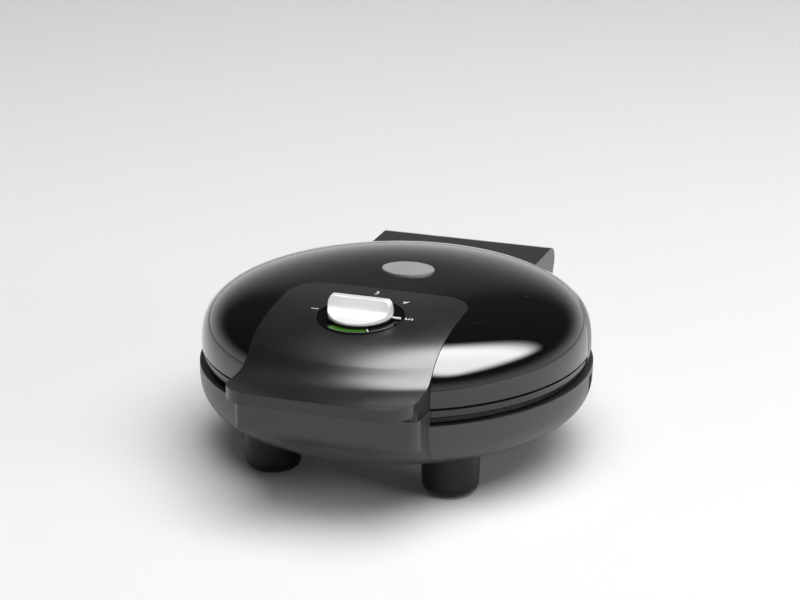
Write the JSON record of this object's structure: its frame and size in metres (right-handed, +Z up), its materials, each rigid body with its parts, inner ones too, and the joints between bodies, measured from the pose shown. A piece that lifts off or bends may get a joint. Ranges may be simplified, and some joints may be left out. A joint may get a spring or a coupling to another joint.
{
  "type": "donut maker",
  "caption": "Round electric donut maker: low bowl-shaped base on feet, hinged domed lid with ring moulds inside, front panel that runs into a lifting lip, and a ridged thermostat knob.",
  "frame": {"origin": "on the plane the feet stand on, midway between the handle lip and the back of the hinge block, which is under the axis of the round body", "axes": "+Z up, -Y towards the handle at the front, +Y towards the hinge, +X to the right seen from the front"},
  "size_m": [0.214, 0.2646, 0.1031],
  "materials": {
    "base_shell": "fine-textured dark grey moulding",
    "black_trim": "black moulding",
    "lid_gloss": "polished black moulding",
    "panel_satin": "satin black moulding",
    "rear_satin": "satin black moulding",
    "foot_black": "black moulding",
    "pad_rubber": "soft pad",
    "cooking_plate": "cast, with a dark non-stick coating",
    "screw_steel": "zinc plated",
    "heater_steel": "dull tube",
    "sheet_steel": "bright sheet",
    "pin_steel": "ground",
    "silver": "silver satin paint",
    "pointer_white": "white",
    "badge_metal": "brushed and plain",
    "lens_green": "tinted clear",
    "lens_clear": "smoked clear",
    "lamp_glass": "neon lamp",
    "inner_plastic": "heat-resistant moulding",
    "gland_plastic": "black moulding",
    "lead_rubber": "insulated lead",
    "fuse": "metal case"
  },
  "bodies": {
    "base": {"base_leads": "lead_rubber", "base_shell": "base_shell", "base_trim_ring": "black_trim", "cord_clamp": "inner_plastic", "cord_clamp_screws": "screw_steel", "cord_gland": "gland_plastic", "earth_tag": "sheet_steel", "foot_front_left": "foot_black", "foot_front_right": "foot_black", "foot_pad_front_left": "pad_rubber", "foot_pad_front_right": "pad_rubber", "foot_pad_rear_left": "pad_rubber", "foot_pad_rear_right": "pad_rubber", "foot_rear_left": "foot_black", "foot_rear_right": "foot_black", "foot_screws": "screw_steel", "lead_sleeve_lower": "lead_rubber", "lower_clamp_screws": "screw_steel", "lower_element": "heater_steel", "lower_element_clamps": "sheet_steel", "lower_heat_shield": "sheet_steel", "lower_plate": "cooking_plate", "lower_plate_screws": "screw_steel", "lower_shield_screw": "screw_steel", "terminal_block": "inner_plastic", "thermal_fuse": "fuse"},
    "lid": {"lid_cover": "lid_gloss", "lid_rim_ring": "black_trim", "front_panel": "panel_satin", "handle_lower_cover": "panel_satin", "handle_screws": "screw_steel", "rear_cover": "rear_satin", "rear_cover_screws": "screw_steel", "hinge_pin_left": "pin_steel", "hinge_pin_right": "pin_steel", "hinge_clips": "sheet_steel", "badge": "badge_metal", "dial_ring": "black_trim", "green_lens": "lens_green", "clear_lens": "lens_clear", "indicator_lamps": "lamp_glass", "lamp_holder": "black_trim", "thermostat_bracket": "sheet_steel", "thermostat_body": "inner_plastic", "lid_leads": "lead_rubber", "lead_sleeve_upper": "lead_rubber", "upper_clamp_screws": "screw_steel", "upper_element": "heater_steel", "upper_element_clamps": "sheet_steel", "upper_heat_shield": "sheet_steel", "upper_plate": "cooking_plate", "upper_plate_screws": "screw_steel", "upper_shield_screw": "screw_steel"},
    "knob": {"thermostat_shaft": "pin_steel", "shaft_clip": "sheet_steel", "knob_skirt": "silver", "knob_pointer": "pointer_white", "knob_cap": "silver"}
  },
  "joints": [
    {"name": "lid_hinge", "type": "hinge", "parent": "base", "child": "lid", "pos_m": [0, 0.114, 0.058], "axis": [-1, 0, 0], "range_deg": [0, 95]},
    {"name": "knob_turn", "type": "hinge", "parent": "lid", "child": "knob", "pos_m": [0, -0.0567, 0.09246], "axis": [0, -0.061, 0.9981], "range_deg": [0, 174]}
  ]
}
